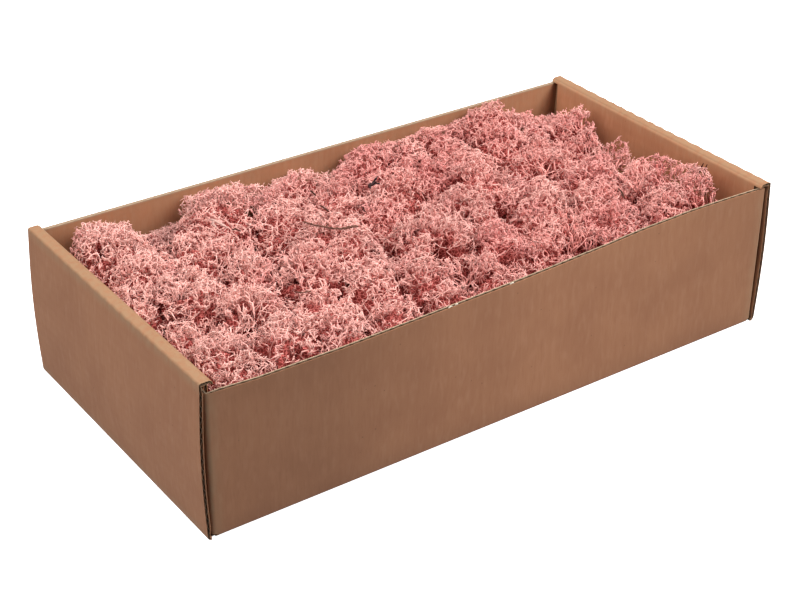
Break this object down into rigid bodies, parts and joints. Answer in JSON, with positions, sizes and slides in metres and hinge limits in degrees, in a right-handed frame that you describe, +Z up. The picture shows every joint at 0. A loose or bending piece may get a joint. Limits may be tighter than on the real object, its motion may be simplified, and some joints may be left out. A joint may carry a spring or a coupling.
{
  "type": "moss clump packed in a cardboard tray",
  "caption": "Clump of dyed reindeer moss packed in an open folded corrugated-cardboard tray, its domed, finely branching tufts level with the rim.",
  "frame": {"origin": "middle of the tray's underside, at the height it stands on", "axes": "+X along the tray's length, +Y across it towards the back wall, +Z up out of the open top"},
  "size_m": [0.4036, 0.2058, 0.108],
  "materials": {
    "board": "matte",
    "moss_rose": "matte",
    "moss_deep": "matte",
    "moss_dusty": "matte",
    "moss_dusk": "matte"
  },
  "bodies": {
    "root": {"tray_floor": "board", "tray_front_wall": "board", "tray_back_wall": "board", "tray_left_end": "board", "tray_right_end": "board", "moss_tuft_01": "moss_rose", "moss_tuft_02": "moss_dusk", "moss_tuft_03": "moss_dusty", "moss_tuft_04": "moss_dusty", "moss_tuft_05": "moss_dusty", "moss_tuft_06": "moss_rose", "moss_tuft_07": "moss_deep", "moss_tuft_08": "moss_rose", "moss_tuft_09": "moss_rose", "moss_tuft_10": "moss_rose", "moss_tuft_11": "moss_dusty", "moss_tuft_12": "moss_rose", "moss_tuft_13": "moss_dusty", "moss_tuft_14": "moss_dusty", "moss_tuft_15": "moss_dusty", "moss_tuft_16": "moss_rose", "moss_tuft_17": "moss_rose", "moss_tuft_18": "moss_dusty", "moss_tuft_19": "moss_rose", "moss_tuft_20": "moss_rose", "moss_tuft_21": "moss_dusty", "moss_tuft_22": "moss_dusty", "moss_tuft_23": "moss_deep", "moss_tuft_24": "moss_dusty", "moss_tuft_25": "moss_deep", "moss_tuft_26": "moss_rose", "moss_tuft_27": "moss_rose", "moss_tuft_28": "moss_rose", "moss_tuft_29": "moss_rose", "moss_tuft_30": "moss_rose", "moss_tuft_31": "moss_rose", "moss_tuft_32": "moss_dusty", "moss_tuft_33": "moss_rose", "moss_tuft_34": "moss_deep", "moss_tuft_35": "moss_rose", "moss_tuft_36": "moss_rose", "moss_tuft_37": "moss_dusty", "moss_tuft_38": "moss_rose", "moss_tuft_39": "moss_deep", "moss_tuft_40": "moss_rose", "moss_tuft_41": "moss_rose", "moss_tuft_42": "moss_rose", "moss_tuft_43": "moss_deep", "moss_tuft_44": "moss_rose", "moss_tuft_45": "moss_rose", "moss_tuft_46": "moss_rose", "moss_tuft_47": "moss_rose", "moss_tuft_48": "moss_deep", "moss_tuft_49": "moss_rose", "moss_tuft_50": "moss_rose", "moss_tuft_51": "moss_deep", "moss_tuft_52": "moss_rose", "moss_tuft_53": "moss_rose"}
  },
  "joints": []
}
